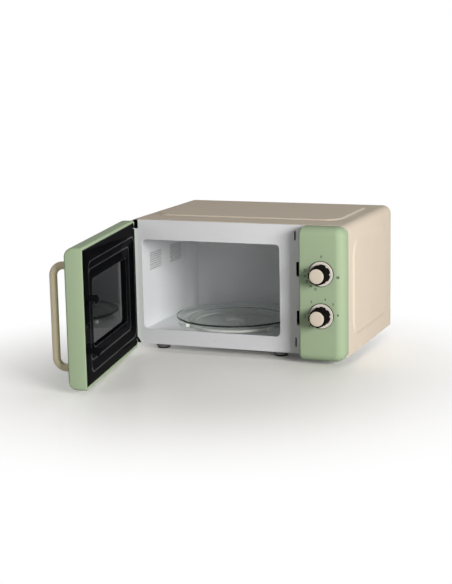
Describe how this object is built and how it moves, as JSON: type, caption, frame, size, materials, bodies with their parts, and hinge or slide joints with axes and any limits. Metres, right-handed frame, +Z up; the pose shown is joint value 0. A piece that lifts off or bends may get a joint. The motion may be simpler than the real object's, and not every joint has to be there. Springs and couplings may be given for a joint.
{
  "type": "microwave oven",
  "caption": "Countertop microwave oven with a side-hinged door, bow handle, two turning knobs and a glass turntable on a roller ring, in a beige steel case with mint mouldings.",
  "frame": {"origin": "on the table under the middle of the case's plan, at the feet's plane", "axes": "+X to the right seen from the front, +Y from the front to the back, +Z up"},
  "size_m": [0.4577, 0.658, 0.2605],
  "materials": {
    "case_enamel": "beige baked enamel",
    "oven_enamel": "pale grey enamel",
    "zinc_steel": "zinc-plated steel",
    "mint_plastic": "satin mint green",
    "cream_plastic": "satin cream",
    "black_plastic": "gloss black",
    "knob_black": "satin black",
    "foot_rubber": "matt",
    "clear_glass": "clear, faint green",
    "dark_glass": "smoked",
    "white_plastic": "matt white",
    "mica": "pressed mica",
    "copper_winding": "enamelled wire",
    "core_steel": "varnished laminations",
    "aluminium": "bare",
    "board": "circuit board",
    "hinge_steel": "pressed steel"
  },
  "bodies": {
    "cabinet": {"outer_wrapper": "case_enamel", "front_plate": "oven_enamel", "base_plate": "zinc_steel", "rear_panel": "zinc_steel", "cord_inlet": "knob_black", "feet": "foot_rubber", "case_screws": "hinge_steel", "cavity_left_wall": "oven_enamel", "cavity_right_wall": "oven_enamel", "cavity_ceiling": "oven_enamel", "cavity_floor": "oven_enamel", "cavity_rear_wall": "oven_enamel", "cavity_rails": "zinc_steel", "waveguide_cover": "mica", "waveguide": "zinc_steel", "magnetron": "aluminium", "transformer_core": "core_steel", "transformer_windings": "copper_winding", "capacitor": "aluminium", "high_voltage_diode": "knob_black", "fan_shroud": "white_plastic", "fan_motor": "core_steel", "lamp_holder": "zinc_steel", "lamp_bulb": "clear_glass", "thermal_cutout": "aluminium", "filter_board": "board", "latch_bracket": "white_plastic", "interlock_switches": "knob_black", "upper_hinge": "hinge_steel", "lower_hinge": "hinge_steel", "control_panel": "mint_plastic", "timer_unit": "white_plastic", "power_selector": "white_plastic", "turntable_motor": "zinc_steel"},
    "door": {"door_frame": "mint_plastic", "door_glass": "dark_glass", "choke_cover": "black_plastic", "inner_window": "dark_glass", "door_screen": "zinc_steel", "hinge_bushes": "white_plastic", "handle": "cream_plastic", "handle_screws": "hinge_steel", "latch_spring": "hinge_steel"},
    "latch": {"door_latch": "black_plastic"},
    "timer_knob": {"timer_dial": "cream_plastic", "timer_grip": "knob_black", "timer_cap": "cream_plastic", "timer_shaft": "hinge_steel"},
    "power_knob": {"power_dial": "cream_plastic", "power_grip": "knob_black", "power_cap": "cream_plastic", "power_shaft": "hinge_steel"},
    "turntable": {"turntable_coupler": "white_plastic"},
    "tray": {"glass_tray": "clear_glass"},
    "ring": {"roller_ring": "white_plastic"},
    "fan": {"fan_blade": "white_plastic"},
    "roller_1": {"roller_1": "white_plastic"},
    "roller_2": {"roller_2": "white_plastic"},
    "roller_3": {"roller_3": "white_plastic"}
  },
  "joints": [
    {"name": "door_swing", "type": "hinge", "parent": "cabinet", "child": "door", "pos_m": [-0.213, -0.1596, 0.13], "axis": [0, 0, 1], "range_deg": [-20, 80]},
    {"name": "latch_lift", "type": "slide", "parent": "door", "child": "latch", "axis": [0, 0, 1], "range_m": [0, 0.005], "stiffness_N_per_m": 150, "springref_m": -0.01, "deforming": ["latch_spring"]},
    {"name": "timer_turn", "type": "hinge", "parent": "cabinet", "child": "timer_knob", "pos_m": [0.1785, -0.1835, 0.1736], "axis": [0, 1, 0], "range_deg": [0, 300]},
    {"name": "power_turn", "type": "hinge", "parent": "cabinet", "child": "power_knob", "pos_m": [0.1785, -0.1835, 0.0955], "axis": [0, 1, 0], "range_deg": [0, 225]},
    {"name": "turntable_spin", "type": "hinge", "parent": "cabinet", "child": "turntable", "pos_m": [-0.05375, -0.0071, 0.03], "axis": [0, 0, 1], "continuous": true},
    {"name": "tray_lift", "type": "slide", "parent": "turntable", "child": "tray", "axis": [0, 0, 1], "range_m": [0, 0.08]},
    {"name": "ring_spin", "type": "hinge", "parent": "cabinet", "child": "ring", "pos_m": [-0.05375, -0.0071, 0.035], "axis": [0, 0, 1], "continuous": true},
    {"name": "fan_spin", "type": "hinge", "parent": "cabinet", "child": "fan", "pos_m": [0.15885, 0.13, 0.16], "axis": [0, 1, 0], "continuous": true},
    {"name": "roller_1_spin", "type": "hinge", "parent": "ring", "child": "roller_1", "pos_m": [-0.05375, 0.0939, 0.035], "axis": [0, 1, 0], "continuous": true},
    {"name": "roller_2_spin", "type": "hinge", "parent": "ring", "child": "roller_2", "pos_m": [-0.14122, -0.0576, 0.035], "axis": [-0.866, -0.5, 0], "continuous": true},
    {"name": "roller_3_spin", "type": "hinge", "parent": "ring", "child": "roller_3", "pos_m": [0.03372, -0.0576, 0.035], "axis": [0.866, -0.5, 0], "continuous": true}
  ],
  "couplings": [
    {"joint": "ring_spin", "follows": "turntable_spin", "ratio": 0.5},
    {"joint": "roller_1_spin", "follows": "turntable_spin", "ratio": -8.8596},
    {"joint": "roller_2_spin", "follows": "turntable_spin", "ratio": -8.8596},
    {"joint": "roller_3_spin", "follows": "turntable_spin", "ratio": -8.8596}
  ]
}
